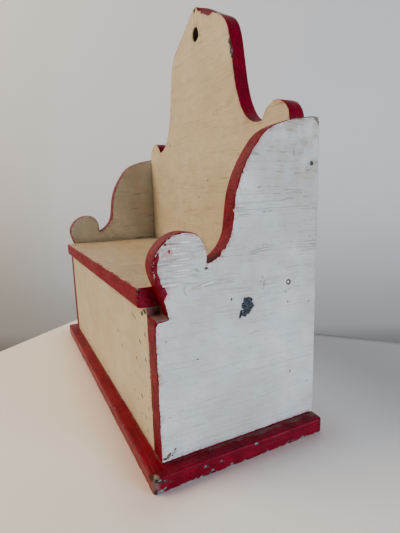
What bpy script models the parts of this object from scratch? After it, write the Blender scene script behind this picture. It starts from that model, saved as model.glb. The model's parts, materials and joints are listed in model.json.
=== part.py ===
"""Hanging wall box with a lift lid: a painted pine box on an overhanging base board.

Two scroll-cut cheeks stand on the base board. The front board and the tall shaped back board
sit between them and are nailed through their faces. The lid swings on two wire pins that pass
through the cheeks into its ends. Metres, +Z up, +Y towards the wall, the front faces -Y.
The origin is the middle of the base board's underside.
"""

import math

import bmesh
import bpy

MM = 0.001
GAP = 0.3 * MM  # between faces that touch

# Driving dimensions
WIDTH = 381 * MM  # over the cheeks
CHEEK_DEPTH = 152 * MM
HEIGHT = 434 * MM
BOARD = 16 * MM  # thickness of the cheeks and of the front board
BACK_THICKNESS = 16.5 * MM
BASE_THICKNESS = 14 * MM
BASE_SIDE_OVERHANG = 12.5 * MM
BASE_FRONT_OVERHANG = 12 * MM
BASE_ROUNDING = 2 * MM
LEDGE_Z = 129.4 * MM  # top of each cheek's front edge, under the finger notch
LEDGE_DEPTH = 10.5 * MM
CHEEK_TOP = 279 * MM
LID_UNDERSIDE = 135.2 * MM
LID_THICKNESS = 15.7 * MM
LID_FRONT_OVERHANG = 6.8 * MM
LID_END_GAP = 1.3 * MM
PIN_TO_BACK_BOARD = 14.2 * MM
LID_REAR_RADIUS = 13.4 * MM  # the lid's rear edge is round about the pins
HANG_HOLE_Z = 405 * MM
HANG_HOLE_RADIUS = 7.75 * MM
LOBE_RADIUS = 20.7 * MM
LOBE_X = 151.8 * MM
LOBE_Z = 278.3 * MM
PIN_RADIUS = 1.75 * MM
PIN_BORE_RADIUS = 2.15 * MM
PIN_IN_LID = 24 * MM
NAIL_LENGTH = 38 * MM
NAIL_HEAD = 3.6 * MM
NAIL_SHANK = 2.2 * MM
NAIL_TIP = 1.0 * MM
NAIL_HEAD_THICKNESS = 1.0 * MM
NAIL_SET = 0.5 * MM  # how far each head lies below the wood's face
PIN_SIDES = 16
HOLE_SIDES = 40

# Planes worked out from them
FRONT = -(CHEEK_DEPTH + BASE_FRONT_OVERHANG) / 2 + BASE_FRONT_OVERHANG  # front edge of the cheeks
REAR = FRONT + CHEEK_DEPTH
BACK_FACE = REAR - BACK_THICKNESS  # front face of the back board
CHEEK_OUT = WIDTH / 2
CHEEK_IN = CHEEK_OUT - BOARD
INNER = CHEEK_IN - GAP  # half width of the boards between the cheeks
FLOOR = BASE_THICKNESS + GAP
LID_MIDDLE = LID_UNDERSIDE + LID_THICKNESS / 2
PIN_Y = BACK_FACE - PIN_TO_BACK_BOARD

PAINT_CREAM = (0.72, 0.66, 0.52)
PAINT_RED = (0.38, 0.055, 0.04)
IRON = (0.09, 0.075, 0.065)


def clear_scene():
    for item in list(bpy.data.objects):
        bpy.data.objects.remove(item, do_unlink=True)


def material(name, color, roughness, metallic=0.0):
    made = bpy.data.materials.new(name)
    made.use_nodes = True
    shader = made.node_tree.nodes["Principled BSDF"]
    shader.inputs["Base Color"].default_value = (*color, 1.0)
    shader.inputs["Roughness"].default_value = roughness
    shader.inputs["Metallic"].default_value = metallic
    return made


# Outlines: lists of (a, b) points in metres

def arc(center, radius, start, end, steps):
    """Points on a circle from start to end, both in degrees, the ends included."""
    angles = [math.radians(start + (end - start) * i / steps) for i in range(steps + 1)]
    return [(center[0] + radius * math.cos(a), center[1] + radius * math.sin(a)) for a in angles]


def curve(start, control_a, control_b, end, steps):
    """Points on a cubic Bezier curve after its start, the end included."""
    points = []
    for i in range(1, steps + 1):
        t = i / steps
        weights = ((1 - t) ** 3, 3 * t * (1 - t) ** 2, 3 * t * t * (1 - t), t ** 3)
        points.append(tuple(
            sum(w * p[k] for w, p in zip(weights, (start, control_a, control_b, end)))
            for k in (0, 1)
        ))
    return points


def scaled(points):
    return [(a * MM, b * MM) for a, b in points]


def cheek_outline():
    """(y, z) of a cheek, written in mm from its front edge: notch, neck, scroll, hollow, ogee."""
    depth, ledge, top = CHEEK_DEPTH / MM, LEDGE_Z / MM, CHEEK_TOP / MM
    notch = (LEDGE_DEPTH / MM, ledge)
    scroll_front, scroll_top, scroll_rear, cusp = (0.1, 167.5), (27, 192), (44, 172), (43.4, 166.6)
    hollow_end, shoulder = (67, 197), (91, 258.5)
    points = [(0, FLOOR / MM), (0, ledge), notch]
    points += curve(notch, (10.4, 142), (0.9, 155.5), scroll_front, 8)
    points += curve(scroll_front, (0.1, 180), (13, 192), scroll_top, 12)
    points += curve(scroll_top, (37.5, 192), (44.2, 184), scroll_rear, 10)
    points += [cusp]
    points += curve(cusp, (55.5, 170), (66, 181), hollow_end, 12)
    points += curve(hollow_end, (69.5, 214), (68, 229), shoulder, 10)
    points += curve(shoulder, (101, 271.5), (122, 276.5), (depth, top), 9)
    points += [(depth, FLOOR / MM)]
    return [(FRONT + y, z) for y, z in scaled(points)]


def back_half_outline():
    """(x, z) of the back board's right half, in mm: ogee from the peak, hollow side, end lobe."""
    peak = (0, HEIGHT / MM)
    slope_end, waist = (55, 406), (82.5, 352)
    radius, lobe_center = LOBE_RADIUS / MM, (LOBE_X / MM, LOBE_Z / MM)
    lobe = arc(lobe_center, radius, 162, 0, 16)
    side = INNER / MM
    points = [peak]
    points += curve(peak, (10, 434), (22, 422.5), slope_end, 9)
    points += curve(slope_end, (76, 395), (76, 380), waist, 10)
    points += curve(waist, (89, 312), (101.5, 284), lobe[0], 12)
    points += lobe[1:]
    points += [(side, lobe_center[1] - 3), (side, FLOOR / MM)]
    return scaled(points)


def lid_outline():
    """(y, z) of the lid's end: square front edge, rear edge round about the pins."""
    half = LID_THICKNESS / 2
    lean = math.degrees(math.asin(half / LID_REAR_RADIUS))
    front = FRONT - LID_FRONT_OVERHANG
    rear = arc((PIN_Y, LID_MIDDLE), LID_REAR_RADIUS, -lean, lean, 8)
    return [(front, LID_UNDERSIDE)] + rear + [(front, LID_UNDERSIDE + LID_THICKNESS)]


# Meshes

def prism(outline, low, high, axis):
    """A closed prism: an (a, b) outline extruded from low to high along X or along Y."""
    place = {
        "X": lambda point, depth: (depth, point[0], point[1]),
        "Y": lambda point, depth: (point[0], depth, point[1]),
    }[axis]
    bm = bmesh.new()
    face = bm.faces.new([bm.verts.new(place(point, low)) for point in outline])
    moved = bmesh.ops.extrude_face_region(bm, geom=[face])
    shift = place((0, 0), high - low)
    corners = [item for item in moved["geom"] if isinstance(item, bmesh.types.BMVert)]
    bmesh.ops.translate(bm, verts=corners, vec=shift)
    return as_mesh(bm)


def spike(sections, sides):
    """A closed solid along +Z from (distance, half width) sections with the same sides."""
    bm = bmesh.new()
    turn = math.pi / sides
    rings = []
    for distance, half in sections:
        radius = half / math.cos(turn)
        angles = [turn + 2 * math.pi * i / sides for i in range(sides)]
        rings.append([
            bm.verts.new((radius * math.cos(a), radius * math.sin(a), distance)) for a in angles
        ])
    for lower, upper in zip(rings, rings[1:]):
        for i in range(sides):
            j = (i + 1) % sides
            bm.faces.new((lower[i], lower[j], upper[j], upper[i]))
    bm.faces.new(rings[0])
    bm.faces.new(rings[-1])
    return as_mesh(bm)


def as_mesh(bm):
    bmesh.ops.recalc_face_normals(bm, faces=bm.faces)
    mesh = bpy.data.meshes.new("shape")
    bm.to_mesh(mesh)
    bm.free()
    return mesh


def add_object(name, mesh, look=None, location=(0, 0, 0), rotation=(0, 0, 0)):
    item = bpy.data.objects.new(name, mesh)
    item.location = location
    item.rotation_euler = rotation
    if look is not None and not mesh.materials:
        mesh.materials.append(look)
    bpy.context.scene.collection.objects.link(item)
    return item


def ease_edges(item, width):
    bevel = item.modifiers.new("eased edges", "BEVEL")
    bevel.width = width
    bevel.segments = 1
    bevel.limit_method = "ANGLE"
    bevel.angle_limit = math.radians(40)


def cut(item, cutter):
    boolean = item.modifiers.new("cut " + cutter.name, "BOOLEAN")
    boolean.operation = "DIFFERENCE"
    boolean.object = cutter


def as_cutter(item):
    item.hide_render = True
    item.display_type = "WIRE"
    return item


# Nails and their holes

TOWARDS = {  # rotation that points a spike's +Z the named way
    "-X": (0, -math.pi / 2, 0),
    "+X": (0, math.pi / 2, 0),
    "+Z": (0, 0, 0),
}


def nail_sections(clearance):
    """A cut nail with a square head; with a clearance, the hole that it was driven into."""
    mouth = -3 * MM if clearance else 0
    neck = NAIL_HEAD_THICKNESS + clearance
    return [
        (mouth, NAIL_HEAD / 2 + clearance),
        (neck, NAIL_HEAD / 2 + clearance),
        (neck, NAIL_SHANK / 2 + clearance),
        (NAIL_LENGTH + clearance, NAIL_TIP / 2 + clearance),
    ]


def nail_rows():
    """Yields (name, head position, direction, boards nailed) for every nail."""
    in_back = REAR - 8 * MM
    in_front = FRONT + BOARD / 2
    in_cheek = CHEEK_IN + BOARD / 2
    for side, word, way in ((-1, "left", "+X"), (1, "right", "-X")):
        face = side * (CHEEK_OUT - NAIL_SET)
        cheek = word + "_cheek"
        for i, height in enumerate((47, 123, 180, 241)):
            head = (face, in_back, height * MM)
            yield f"{word}_back_nail_{i + 1}", head, way, (cheek, "back_board")
        for i, height in enumerate((51, 112)):
            head = (face, in_front, height * MM)
            yield f"{word}_front_nail_{i + 1}", head, way, (cheek, "front_board")
        for i, depth in enumerate((32, 112)):
            head = (side * in_cheek, FRONT + depth * MM, NAIL_SET)
            yield f"{word}_base_nail_{i + 1}", head, "+Z", (cheek, "base_board")
    for board, row in (("front_board", in_front), ("back_board", in_back)):
        for i, place in enumerate((-120, 0, 120)):
            name = f"{board.split('_')[0]}_base_nail_{i + 1}"
            yield name, (place * MM, row, NAIL_SET), "+Z", (board, "base_board")


def add_nails(boards, iron):
    nail_mesh = spike(nail_sections(0), 4)
    hole_mesh = spike(nail_sections(GAP), 4)
    for name, head, way, nailed in nail_rows():
        add_object(name, nail_mesh, iron, head, TOWARDS[way])
        hole = as_cutter(add_object("hole for " + name, hole_mesh, None, head, TOWARDS[way]))
        for board in nailed:
            cut(boards[board], hole)


# The hinge pins and their bores

def add_pins(boards, iron):
    lid_end = CHEEK_IN - LID_END_GAP
    length = CHEEK_OUT - GAP - (lid_end - PIN_IN_LID)
    chamfer = 0.4 * MM
    pin_mesh = spike([
        (0, PIN_RADIUS - chamfer),
        (chamfer, PIN_RADIUS),
        (length - chamfer, PIN_RADIUS),
        (length, PIN_RADIUS - chamfer),
    ], PIN_SIDES)
    pin_mesh.shade_smooth()
    pin_mesh.set_sharp_from_angle(angle=math.radians(40))
    bore_length = length + 2 * GAP
    bore_mesh = spike([(-3 * MM, PIN_BORE_RADIUS), (bore_length, PIN_BORE_RADIUS)], PIN_SIDES)
    for side, word, way in ((-1, "left", "+X"), (1, "right", "-X")):
        head = (side * (CHEEK_OUT - GAP), PIN_Y, LID_MIDDLE)
        add_object(word + "_hinge_pin", pin_mesh, iron, head, TOWARDS[way])
        bore = add_object(word + " pin bore", bore_mesh, None, head, TOWARDS[way])
        cut(boards[word + "_cheek"], as_cutter(bore))
        cut(boards["lid"], bore)


# Boards

def add_cheek(word, side):
    inner, outer = sorted((side * CHEEK_IN, side * CHEEK_OUT))
    look = material(word + "_cheek_paint", PAINT_CREAM, 0.55)
    item = add_object(word + "_cheek", prism(cheek_outline(), inner, outer, "X"), look)
    ease_edges(item, 0.8 * MM)
    return item


def add_back_board():
    half = back_half_outline()
    outline = half + [(-x, z) for x, z in reversed(half) if x > 0]
    look = material("back_board_paint", PAINT_CREAM, 0.55)
    item = add_object("back_board", prism(outline, BACK_FACE, REAR, "Y"), look)
    ease_edges(item, 0.8 * MM)
    center = (0, (BACK_FACE + REAR) / 2, HANG_HOLE_Z)
    reach = BACK_THICKNESS
    hole_mesh = spike([(-reach, HANG_HOLE_RADIUS), (reach, HANG_HOLE_RADIUS)], HOLE_SIDES)
    hole = add_object("hanging hole", hole_mesh, None, center, (math.pi / 2, 0, 0))
    cut(item, as_cutter(hole))
    return item


def add_base_board():
    side = CHEEK_OUT + BASE_SIDE_OVERHANG
    front = FRONT - BASE_FRONT_OVERHANG
    outline = [(front, 0), (REAR, 0), (REAR, BASE_THICKNESS), (front, BASE_THICKNESS)]
    look = material("base_board_paint", PAINT_RED, 0.5)
    item = add_object("base_board", prism(outline, -side, side, "X"), look)
    ease_edges(item, BASE_ROUNDING)
    item.modifiers["eased edges"].segments = 3
    return item


def add_front_board():
    top = LID_UNDERSIDE - GAP
    outline = [(FRONT, FLOOR), (FRONT + BOARD, FLOOR), (FRONT + BOARD, top), (FRONT, top)]
    look = material("front_board_paint", PAINT_CREAM, 0.55)
    item = add_object("front_board", prism(outline, -INNER, INNER, "X"), look)
    ease_edges(item, 0.8 * MM)
    return item


def add_lid():
    """The lid, with its origin on the hinge axis."""
    half = CHEEK_IN - LID_END_GAP
    outline = [(y - PIN_Y, z - LID_MIDDLE) for y, z in lid_outline()]
    look = material("lid_paint", PAINT_CREAM, 0.5)
    item = add_object("lid", prism(outline, -half, half, "X"), look, (0, PIN_Y, LID_MIDDLE))
    ease_edges(item, 1.0 * MM)
    return item


def build():
    clear_scene()
    boards = {
        "base_board": add_base_board(),
        "left_cheek": add_cheek("left", -1),
        "right_cheek": add_cheek("right", 1),
        "front_board": add_front_board(),
        "back_board": add_back_board(),
        "lid": add_lid(),
    }
    iron = material("iron", IRON, 0.7, 0.6)
    add_nails(boards, iron)
    add_pins(boards, iron)


build()
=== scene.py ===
"""Looks of the hanging wall box: worn boards, aged paint, iron, and the photo's camera and light.

Every board is rebuilt around its CAD node as a fine mesh with worn arrises, chips and dents.
Each of its points carries a few distances in mm, and the materials turn them into paint edges,
bare wood, chips, grime, and painted shade and highlights. Lengths in this script are in mm unless a
name ends in _m or _M.
"""
import json
import math
from functools import cached_property, partial, reduce

import bmesh
import bpy
import numpy as np
from mathutils import Matrix, Vector, geometry, kdtree


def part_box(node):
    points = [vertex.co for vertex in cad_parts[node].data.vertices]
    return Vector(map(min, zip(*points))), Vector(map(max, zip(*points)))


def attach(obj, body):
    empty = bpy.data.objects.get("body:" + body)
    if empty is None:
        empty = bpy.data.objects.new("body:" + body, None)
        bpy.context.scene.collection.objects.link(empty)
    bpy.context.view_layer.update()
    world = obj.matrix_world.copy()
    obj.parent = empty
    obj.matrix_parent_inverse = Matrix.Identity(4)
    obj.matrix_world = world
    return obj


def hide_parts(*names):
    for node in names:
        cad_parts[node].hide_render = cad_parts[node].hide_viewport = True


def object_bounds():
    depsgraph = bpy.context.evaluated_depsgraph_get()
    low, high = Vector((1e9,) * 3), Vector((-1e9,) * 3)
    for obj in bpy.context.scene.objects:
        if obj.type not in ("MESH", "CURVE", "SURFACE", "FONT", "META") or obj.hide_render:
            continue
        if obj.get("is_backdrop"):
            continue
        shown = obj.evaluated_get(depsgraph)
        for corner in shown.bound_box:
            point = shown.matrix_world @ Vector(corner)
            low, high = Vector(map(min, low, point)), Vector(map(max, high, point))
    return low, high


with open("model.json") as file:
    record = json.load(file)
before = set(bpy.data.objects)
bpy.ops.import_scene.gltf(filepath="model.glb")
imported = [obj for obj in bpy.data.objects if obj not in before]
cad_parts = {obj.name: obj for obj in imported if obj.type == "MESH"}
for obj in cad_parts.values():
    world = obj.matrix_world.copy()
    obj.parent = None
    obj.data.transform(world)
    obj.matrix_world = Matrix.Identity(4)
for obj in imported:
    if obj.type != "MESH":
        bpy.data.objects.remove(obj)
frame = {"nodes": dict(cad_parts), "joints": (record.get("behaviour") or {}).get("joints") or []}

cad_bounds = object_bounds()

MM = 0.001
BODY_BOX, BODY_LID = "box", "lid"
scene = bpy.context.scene


def low(node):
    return np.array(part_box(node)[0]) / MM


def high(node):
    return np.array(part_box(node)[1]) / MM


# Planes read from the frame
INNER, FRONT, _ = low("right_cheek")
OUTER, REAR, CHEEK_TOP = high("right_cheek")
BACK_FACE = low("back_board")[1]
BASE_FRONT = low("base_board")[1]
BASE_SIDE, _, BASE_TOP = high("base_board")
_, LID_FRONT, LID_BOTTOM = low("lid")
LID_END, _, LID_TOP = high("lid")
PEAK = high("back_board")[2]
PIN_Y, PIN_Z = (np.array(frame["joints"][0]["pos_m"]) / MM)[1:]

# Sizes that the frame doesn't give
LEDGE = 129.4  # height of the cheeks' step under the lid's front edge
HOLE_Z, HOLE_RADIUS = PEAK - 29, 7.75  # the hanging hole
BORE_RADIUS, BORE_ARRIS = 2.15, 0.25  # the pins' bores


# Smooth noise for whole arrays of points

def lattice(cells, seed):
    """A steady pseudo-random number from -1 to 1 for each whole-numbered cell."""
    mixed = cells @ np.array([127.1, 311.7, 74.7]) + seed * 19.19
    wave = np.sin(mixed) * 43758.5453
    return 2 * (wave - np.floor(wave)) - 1


def value_noise(points, size, seed=0):
    """Smooth noise from -1 to 1 whose blobs are about size mm across, along each axis."""
    place = points / np.broadcast_to(size, 3) + seed * 7.31
    cell = np.floor(place)
    part = place - cell
    part = part * part * (3 - 2 * part)
    total = np.zeros(len(points))
    for corner in np.ndindex(2, 2, 2):
        corner = np.array(corner)
        weight = np.prod(np.where(corner, part, 1 - part), axis=1)
        total += weight * lattice(cell + corner, seed)
    return total


def smooth_step(x, start, end):
    t = np.clip((x - start) / (end - start), 0, 1)
    return t * t * (3 - 2 * t)


def most(*layers):
    """The highest of several layers at each point."""
    return np.maximum.reduce(layers)


# Outlines from the CAD nodes

AXES = {"X": (1, 2, 0), "Y": (0, 2, 1), "Z": (0, 1, 2)}  # the outline's two axes, the thickness
SHARP_TURN = 18  # degrees at a point of an outline that make it a corner


def outline_of(node, axis, chamfer):
    """The node's outline across its thickness: the closed loop where its eased edge begins."""
    u, v, w = AXES[axis]
    bm = bmesh.new()
    bm.from_mesh(frame["nodes"][node].data)
    bmesh.ops.remove_doubles(bm, verts=bm.verts, dist=0.01 * MM)
    plane = low(node)[w] + chamfer
    on = {p for p in bm.verts if abs(p.co[w] / MM - plane) < 0.05}
    links = {p: [e.other_vert(p) for e in p.link_edges if e.other_vert(p) in on] for p in on}
    start = min(on, key=lambda p: (p.co[v], p.co[u]))
    loop, before, here = [start], None, start
    while True:
        after = next(p for p in links[here] if p is not before)
        if after is start:
            break
        loop.append(after)
        before, here = here, after
    points = np.array([(p.co[u], p.co[v]) for p in loop]) / MM
    bm.free()
    return points if signed_area(points) > 0 else points[::-1]


def signed_area(loop):
    x, y = loop.T
    return 0.5 * np.sum(x * np.roll(y, -1) - y * np.roll(x, -1))


def softened(loop, step, radius):
    """The loop with its sharp corners rounded to about radius, and a point about every step."""
    ahead = np.roll(loop, -1, axis=0) - loop
    heading = np.arctan2(ahead[:, 1], ahead[:, 0])
    turn = np.abs((heading - np.roll(heading, 1) + math.pi) % (2 * math.pi) - math.pi)
    corners = loop[turn > math.radians(SHARP_TURN)]
    spacing = 0.2
    fine = spread(loop, np.full(len(loop), spacing))
    near = np.min(np.linalg.norm(fine[:, None] - corners[None], axis=2), axis=1)
    reach = int(3 * radius / spacing)
    kernel = np.exp(-0.5 * (np.arange(-reach, reach + 1) * spacing / (0.7 * radius)) ** 2)
    kernel /= kernel.sum()
    padded = np.vstack([fine[-reach:], fine, fine[:reach]])
    blurred = np.column_stack([np.convolve(padded[:, k], kernel, "valid") for k in (0, 1)])
    share = 1 - smooth_step(near, 1.5 * radius, 3 * radius)
    fine += share[:, None] * (blurred - fine)
    return spread(fine, np.where(near < 3 * radius, 0.5 * step, step))


def spread(loop, spacing):
    """Points along the closed loop, about spacing apart, where spacing is given at each point."""
    closed = np.vstack([loop, loop[:1]])
    lengths = np.linalg.norm(np.diff(closed, axis=0), axis=1)
    gone = np.concatenate([[0], np.cumsum(lengths / spacing)])
    at = np.linspace(0, gone[-1], max(8, round(gone[-1])) + 1)[:-1]
    return np.column_stack([np.interp(at, gone, closed[:, k]) for k in (0, 1)])


def inward(loop):
    """Unit-offset vectors into the material, which lies on the loop's left."""
    ahead = np.roll(loop, -1, axis=0) - loop
    ahead /= np.linalg.norm(ahead, axis=1)[:, None]
    side = np.column_stack([-ahead[:, 1], ahead[:, 0]])
    both = side + np.roll(side, 1, axis=0)
    return both / np.maximum(np.sum(both * both, axis=1) / 2, 0.45)[:, None]


def inside(points, loop):
    """True for each point that lies inside the closed loop."""
    found = np.zeros(len(points), bool)
    for a, b in zip(loop, np.roll(loop, -1, axis=0)):
        if a[1] == b[1]:
            continue
        spans = (points[:, 1] < a[1]) != (points[:, 1] < b[1])
        cross = a[0] + (points[:, 1] - a[1]) * (b[0] - a[0]) / (b[1] - a[1])
        found ^= spans & (points[:, 0] < cross)
    return found


def distance_to(points, loops):
    """Distance in mm from each point to the nearest of the closed loops."""
    dense = np.vstack([spread(loop, np.full(len(loop), 0.4)) for loop in loops])
    tree = kdtree.KDTree(len(dense))
    for i, (x, y) in enumerate(dense.tolist()):
        tree.insert((x, y, 0), i)
    tree.balance()
    return np.array([tree.find((x, y, 0))[2] for x, y in points.tolist()])


# Boards

FINE, COARSE, BORDER = 1.3, 3.4, 6.0  # spacing near a board's edge, further in, and where it changes
DETAIL, DETAIL_REACH = 0.55, 2.2  # spacing round a mark, and how far past its radius
ROW_HEIGHT = 0.866  # of a hexagonal grid, as a share of its spacing
NO_LIMIT = 1e9
INSIDE_ONLY = 1  # Blender's number for triangles enclosed by the outlines
ARRIS_STEPS = 4  # faces round a quarter turn
HOLE_POINTS = 64
LAYER_LIMIT = 12  # mm that a layer tells apart
CLEAR = -3  # a layer's value where its damage is well away


def hex_grid(low_corner, high_corner, step):
    rows = np.arange(low_corner[1], high_corner[1], step * ROW_HEIGHT)
    columns = np.arange(low_corner[0], high_corner[0], step)
    x, y = np.meshgrid(columns, rows)
    x[1::2] += step / 2
    return np.column_stack([x.ravel(), y.ravel()])


def cap_points(rings, marks):
    """Points inside the first ring and outside the others, closer together where detail is."""
    corners = rings[0].min(axis=0), rings[0].max(axis=0)
    grids = [
        (detail_grid(marks), 0.7 * DETAIL, NO_LIMIT, -NO_LIMIT),
        (hex_grid(*corners, FINE), 0.6 * FINE, BORDER, 0.6 * FINE),
        (hex_grid(*corners, COARSE), BORDER + 0.3 * COARSE, NO_LIMIT, 0.6 * COARSE),
    ]
    taken = []
    for grid, closest, furthest, clear_of_marks in grids:
        grid = grid[near_marks(grid, marks) > clear_of_marks]
        away = distance_to(grid, rings)
        grid = grid[(away > closest) & (away < furthest)]
        keep = inside(grid, rings[0])
        for ring in rings[1:]:
            keep &= ~inside(grid, ring)
        taken.append(grid[keep])
    return np.vstack(taken)


def detail_grid(marks):
    patches = []
    for u, v, reach in marks:
        patch = hex_grid((u - reach, v - reach), (u + reach, v + reach), DETAIL)
        patch = patch[np.hypot(patch[:, 0] - u, patch[:, 1] - v) < reach]
        patch = patch[near_marks(patch, marks[:len(patches)]) > 0.6 * DETAIL]
        patches.append(patch)
    return np.vstack(patches) if patches else np.zeros((0, 2))


def near_marks(points, marks):
    """Distance outside the nearest mark's patch, negative inside it."""
    if not marks:
        return np.full(len(points), NO_LIMIT)
    return np.min([np.hypot(points[:, 0] - u, points[:, 1] - v) - r for u, v, r in marks], axis=0)


class Board:
    """A board's fine mesh, with what its paint rules need to know at each point."""

    def __init__(self, node, axis, chamfer, arris, step=FINE, depth_step=1.6, holes=(), marks=()):
        u, v, w = AXES[axis]
        self.node, self.marks, self.inner = node, marks, None
        self.low, self.high = low(node), high(node)
        self.thickness = self.high[w] - self.low[w]
        self.points, self.rim, self.faces = [], [], []
        outline = softened(outline_of(node, axis, chamfer), step, 1.3 * arris)
        rings = [self.add_strip(outline, arris, depth_step)]
        for center, radius, soft in holes:
            rings.append(self.add_strip(hole_loop(center, radius), soft, depth_step))
        for end in (0, 1):
            self.add_cap([ring[end] for ring in rings], end, (u, v, w))
        flat = np.vstack(self.points)
        self.rim = np.concatenate(self.rim)
        self.position = np.zeros_like(flat)
        self.position[:, [u, v]] = flat[:, :2]
        self.position[:, w] = self.low[w] + flat[:, 2]

    def add_strip(self, loop, arris, depth_step):
        """The rim along one loop, with rounded arrises. Returns its two end rings."""
        count, thick = len(loop), self.thickness
        wander = value_noise(np.column_stack([loop, np.zeros(count)]), 14, 3)
        radius = arris * (1 + 0.3 * wander)
        bend = np.linspace(0, math.pi / 2, ARRIS_STEPS + 1)
        inner = max(2, round(thick / depth_step))
        middle = np.linspace(0, 1, inner + 1)[1:-1]
        into = inward(loop)
        # Each column's inset, depth and, on an arris, its rim value as a share of the radius
        bends = [
            (radius * (1 - math.sin(a)), radius * (1 - math.cos(a)), 1 - 2 * a / bend[-1]) for a in bend
        ]
        columns = bends + [(0 * radius, radius + t * (thick - 2 * radius), None) for t in middle]
        columns += [(inset, thick - depth, share) for inset, depth, share in bends[::-1]]
        start = sum(map(len, self.points))
        for inset, depth, share in columns:
            spot = loop + into * inset[:, None]
            self.points.append(np.column_stack([spot, depth]))
            from_cap = np.minimum(depth, thick - depth)
            self.rim.append(radius * share if share is not None else -from_cap)
        index = start + np.arange(len(columns) * count).reshape(len(columns), count)
        ahead = np.roll(index, -1, axis=1)
        quads = np.stack([index[:-1], ahead[:-1], ahead[1:], index[1:]], axis=-1)
        self.faces += quads.reshape(-1, 4).tolist()
        strip = self.points[-len(columns):]
        return [(index[k], strip[k][:, :2]) for k in (0, -1)]

    def add_cap(self, rings, end, axes):
        """Fills one face of the board with triangles, fine near edges and marks."""
        loops = [spots for _, spots in rings]
        marks = [
            (m.at[axes[0]], m.at[axes[1]], max(m.radii[axes[0]], m.radii[axes[1]]) + DETAIL_REACH)
            for m in self.marks if m.on_cap(axes[2], self)
        ]
        if self.inner is None:
            self.inner = cap_points(loops, marks)
        inner = self.inner
        spots = np.vstack([*loops, inner])
        edges, start = [], 0
        for loop in loops:
            edges += [(start + i, start + (i + 1) % len(loop)) for i in range(len(loop))]
            start += len(loop)
        found = geometry.delaunay_2d_cdt([Vector(p) for p in spots], edges, [], INSIDE_ONLY, 1e-5)
        triangles = np.array(found[2])
        if len(found[0]) != len(spots):
            raise ValueError(self.node + ": a face's outline crosses itself")
        centers = spots[triangles].mean(axis=1)
        keep = np.ones(len(triangles), bool)
        for loop in loops[1:]:
            keep &= ~inside(centers, loop)
        first = sum(map(len, self.points))
        index = np.concatenate([ids for ids, _ in rings] + [first + np.arange(len(inner))])
        self.faces += index[triangles[keep]].tolist()
        depth = np.full(len(inner), end * self.thickness)
        self.points.append(np.column_stack([inner, depth]))
        self.rim.append(distance_to(inner, loops) + 1.0)

    @cached_property
    def mark_values(self):
        """Each mark's value at every point."""
        p = self.position
        ragged = 0.5 * value_noise(p, 1.3, 51) + 0.3 * value_noise(p, 2.6, 52)
        return [mark.value(p, ragged) for mark in self.marks]

    def marked(self, kind, floor=CLEAR):
        """The highest value of that kind of mark at each point."""
        values = [value for m, value in zip(self.marks, self.mark_values) if m.kind == kind]
        return np.maximum(np.max(values, axis=0), floor) if values else np.full(len(self.rim), floor)

    def finish(self, name, slot, face, along, seed, layers, body=BODY_BOX, dents=0.35, **looks):
        """Writes the worn and painted mesh, with its layers, most of them distances in mm.

        The board's marks add to the layers of their kinds.
        """
        mesh = bpy.data.meshes.new(name)
        mesh.from_pydata((self.position * MM).tolist(), [], self.faces)
        bm = bmesh.new()
        bm.from_mesh(mesh)
        bmesh.ops.recalc_face_normals(bm, faces=bm.faces)
        bm.to_mesh(mesh)
        bm.free()
        normals = np.zeros(len(self.position) * 3)
        mesh.vertices.foreach_get("normal", normals)
        moved = self.position + normals.reshape(-1, 3) * worn_push(self, seed, dents)[:, None]
        mesh.vertices.foreach_set("co", (moved * MM).ravel())
        none = 0 * self.rim
        layers = {"rim": self.rim, "dirt_and_shade": none, "cracked": none + 0.5, **layers}
        for kind in ("chip", "dark", "stain", "ridge", "bare"):
            layers[kind] = most(self.marked(kind), layers.get(kind, none + CLEAR))
        for key, values in layers.items():
            layer = mesh.attributes.new(key, "FLOAT", "POINT")
            limited = np.clip(values, -LAYER_LIMIT, LAYER_LIMIT)
            layer.data.foreach_set("value", limited.astype(np.float32))
        mesh.shade_smooth()
        mesh.materials.append(painted_material(name + "_paint", face, along, seed, **looks))
        item = linked(name, mesh)
        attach(item, body)
        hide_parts(self.node)


def linked(name, data):
    """A new object in the scene."""
    item = bpy.data.objects.new(name, data)
    scene.collection.objects.link(item)
    return item


def hole_loop(center, radius):
    """A hole's outline, clockwise, so that the material lies on its left."""
    angles = -np.linspace(0, 2 * math.pi, HOLE_POINTS, endpoint=False)
    return np.array(center) + radius * np.column_stack([np.cos(angles), np.sin(angles)])


SMOOTH_KINDS = ("red", "dent", "ridge")  # their edges are less ragged than those of damage
DEPTHS = {"chip": 0.4, "flake": 0.15}


class Mark:
    """A small feature on a face: a ragged ellipsoid, with a kind of damage and a depth in mm."""

    def __init__(self, kind, at, radii, depth, axis, lean=0.0):
        self.kind, self.at, self.depth = kind, np.array(at, float), depth
        self.axis, self.lean = axis, math.radians(lean)
        self.radii = np.array(radii, float)

    def on_cap(self, w, board):
        """Whether the mark is on one of the board's two faces across that axis."""
        return min(abs(self.at[w] - board.low[w]), abs(self.at[w] - board.high[w])) < 2

    def value(self, position, ragged):
        """About how far inside the feature's edge each point is, in mm, negative outside."""
        away = position - self.at
        u, v, _ = AXES[self.axis]
        c, s = math.cos(self.lean), math.sin(self.lean)
        away[:, u], away[:, v] = away[:, u] * c + away[:, v] * s, away[:, v] * c - away[:, u] * s
        size = min(self.radii)
        rough = min(size, 1.3) * (0.35 if self.kind in SMOOTH_KINDS else 1)
        return (1 - np.linalg.norm(away / self.radii, axis=1)) * size + ragged * rough


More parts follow.
